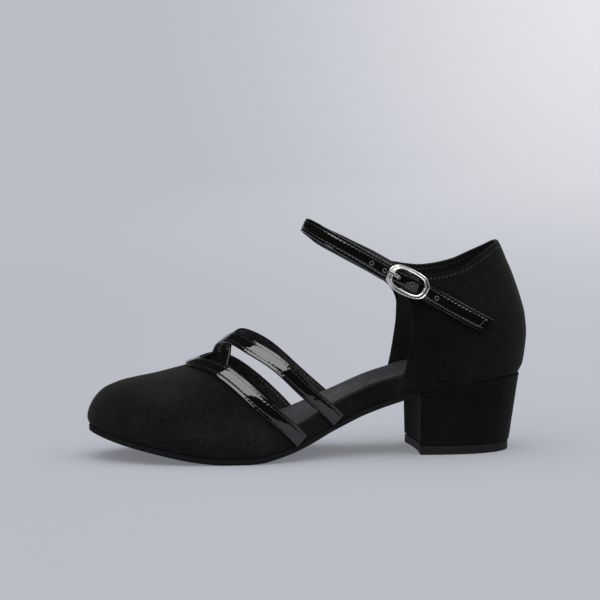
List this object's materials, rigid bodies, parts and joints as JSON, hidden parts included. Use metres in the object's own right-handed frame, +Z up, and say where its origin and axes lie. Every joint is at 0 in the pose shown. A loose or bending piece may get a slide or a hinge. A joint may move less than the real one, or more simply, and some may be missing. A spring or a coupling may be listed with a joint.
{
  "type": "ballroom dance shoe",
  "caption": "Ladies' closed-toe ballroom dance shoe with crossed instep straps, a buckled ankle strap and a low block heel.",
  "frame": {"origin": "middle of the bounding box's bottom face, on the floor that the shoe stands on", "axes": "+X from the toe to the heel, +Y to the medial side, +Z up"},
  "size_m": [0.2513, 0.0782, 0.1335],
  "materials": {
    "black_suede": "suede nap, matt",
    "sole_suede": "suede sole, matt",
    "grey_sock": "microsuede, matt",
    "grey_rubber": "satin",
    "black_patent": "patent, mirror gloss",
    "polished_nickel": "polished"
  },
  "bodies": {
    "root": {"outsole": "sole_suede", "heel": "black_suede", "heel_lift": "grey_rubber", "upper": "black_suede", "insole": "grey_sock", "throat_strap": "black_patent", "cross_straps": "black_patent", "ankle_strap": "black_patent", "buckle_chape": "black_patent", "buckle_frame": "polished_nickel", "buckle_prong": "polished_nickel"}
  },
  "joints": []
}
